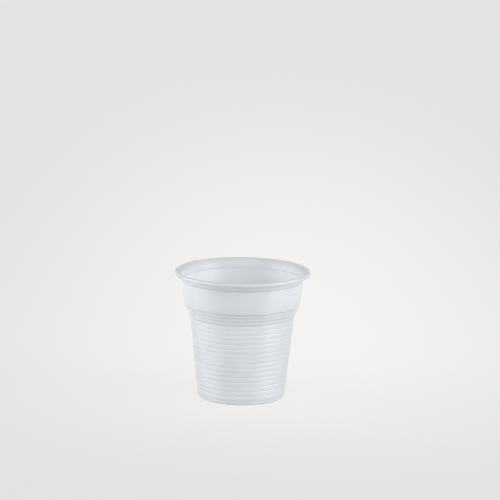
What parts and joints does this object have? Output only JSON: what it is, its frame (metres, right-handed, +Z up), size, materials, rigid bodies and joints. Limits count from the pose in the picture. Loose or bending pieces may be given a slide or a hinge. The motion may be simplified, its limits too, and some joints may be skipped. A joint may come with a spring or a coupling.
{
  "type": "disposable coffee cup",
  "caption": "Small thin-walled disposable plastic coffee cup with a rolled rim, smooth band, ribbed shoulder and ribbed tapering wall, for one short hot drink.",
  "frame": {"origin": "centre of the circle on which the foot ring stands, at the floor", "axes": "+Z up along the cup's axis, from the foot to the open mouth"},
  "size_m": [0.058, 0.058, 0.055],
  "materials": {
    "plastic": "thin white thermoformed plastic, slightly translucent, soft gloss"
  },
  "bodies": {
    "root": {"cup": "plastic"}
  },
  "joints": []
}
